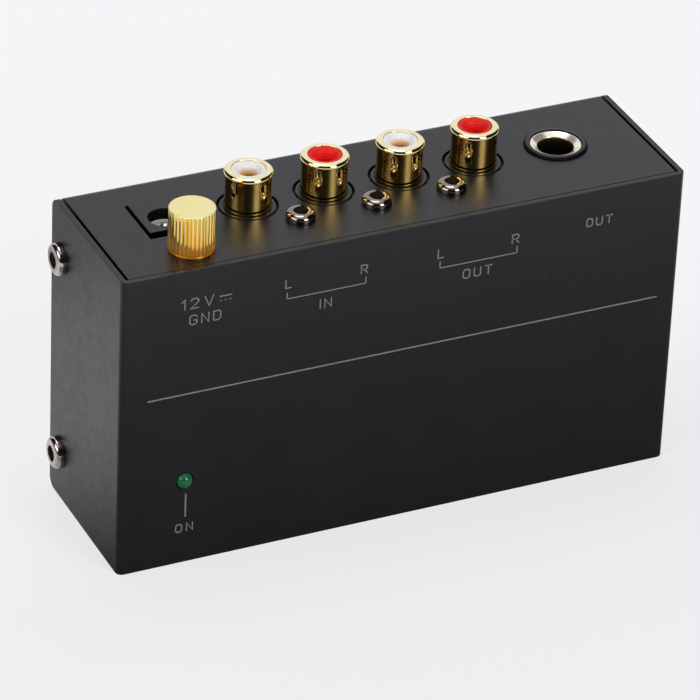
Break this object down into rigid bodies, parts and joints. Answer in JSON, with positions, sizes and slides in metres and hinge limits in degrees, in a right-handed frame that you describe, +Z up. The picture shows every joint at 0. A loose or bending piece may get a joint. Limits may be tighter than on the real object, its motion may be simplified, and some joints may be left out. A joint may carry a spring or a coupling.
{
  "type": "phono preamp",
  "caption": "Small folded-steel box with a row of gold phono sockets, a phone jack, a power inlet and a knurled ground screw on top; raises a turntable's signal to line level.",
  "frame": {"origin": "middle of the folded base panel, on the surface that the box stands on", "axes": "+X along the socket row, from the power inlet to the phone jack; +Y from the label face to the plain back; +Z up, out of the socket panel"},
  "size_m": [0.107, 0.032, 0.0652],
  "materials": {
    "powder_coat": "matt black powder coat, fine grain",
    "gold_plate": "polished gold plate",
    "black_nickel": "black nickel, glossy",
    "white_plastic": "gloss",
    "red_plastic": "gloss",
    "black_plastic": "fine moulded",
    "nickel_plate": "bright nickel plate",
    "led_green": "clear tinted, glossy",
    "board_green": "solder mask",
    "wire_green": "satin",
    "capacitor_sleeve": "shrink sleeve",
    "film_red": "moulded box",
    "resistor_blue": "lacquer",
    "chip_black": "moulded epoxy"
  },
  "bodies": {
    "enclosure": {"front_cover": "powder_coat", "chassis": "powder_coat", "socket_panel": "powder_coat", "cover_screws": "black_nickel", "jack_screws": "black_nickel", "rca_block": "black_plastic", "rca_shell_1": "gold_plate", "rca_shell_2": "gold_plate", "rca_shell_3": "gold_plate", "rca_shell_4": "gold_plate", "rca_insulator_1": "white_plastic", "rca_insulator_2": "red_plastic", "rca_insulator_3": "white_plastic", "rca_insulator_4": "red_plastic", "rca_contact_1": "gold_plate", "rca_contact_2": "gold_plate", "rca_contact_3": "gold_plate", "rca_contact_4": "gold_plate", "phone_jack_body": "black_plastic", "phone_jack_ferrule": "gold_plate", "phone_jack_ring": "black_plastic", "dc_inlet_body": "black_plastic", "dc_inlet_pin": "nickel_plate", "dc_inlet_sleeve": "nickel_plate", "ground_bush": "nickel_plate", "ground_lug": "nickel_plate", "ground_lug_nut": "nickel_plate", "ground_wire": "wire_green", "led_lens": "led_green", "led_leads": "nickel_plate", "led_spacer": "black_plastic", "circuit_board": "board_green", "board_standoffs": "nickel_plate", "board_screws": "nickel_plate", "op_amp": "chip_black", "voltage_regulator": "chip_black", "electrolytic_capacitors": "capacitor_sleeve", "film_capacitors": "film_red", "resistors": "resistor_blue", "diodes": "black_plastic"},
    "ground_washer": {"ground_washer": "gold_plate"},
    "ground_screw": {"ground_thumb_screw": "gold_plate"},
    "phone_tip_contact": {"phone_jack_tip_spring": "nickel_plate"},
    "phone_ring_contact": {"phone_jack_ring_spring": "nickel_plate"},
    "inlet_contact": {"dc_inlet_spring": "nickel_plate"}
  },
  "joints": [
    {"name": "ground_washer_lift", "type": "slide", "parent": "enclosure", "child": "ground_washer", "axis": [0, 0, 1], "range_m": [0, 0.0028]},
    {"name": "ground_screw_turn", "type": "hinge", "parent": "ground_washer", "child": "ground_screw", "pos_m": [-0.03685, -0.00855, 0.05782], "axis": [0, 0, 1], "range_deg": [0, 1440]},
    {"name": "phone_tip_contact_flex", "type": "hinge", "parent": "enclosure", "child": "phone_tip_contact", "pos_m": [0.04105, 0.0011, 0.0403], "axis": [0, -1, 0], "range_deg": [0, 4], "stiffness_Nm_per_rad": 0.4},
    {"name": "phone_ring_contact_flex", "type": "hinge", "parent": "enclosure", "child": "phone_ring_contact", "pos_m": [0.02955, 0.0011, 0.0423], "axis": [0, 1, 0], "range_deg": [0, 4], "stiffness_Nm_per_rad": 0.4},
    {"name": "inlet_contact_flex", "type": "hinge", "parent": "enclosure", "child": "inlet_contact", "pos_m": [-0.037, 0.00635, 0.0475], "axis": [-1, 0, 0], "range_deg": [0, 3.5], "stiffness_Nm_per_rad": 0.2}
  ],
  "couplings": [
    {"joint": "ground_screw_turn", "follows": "ground_washer_lift", "rad_per_m": 8976}
  ]
}
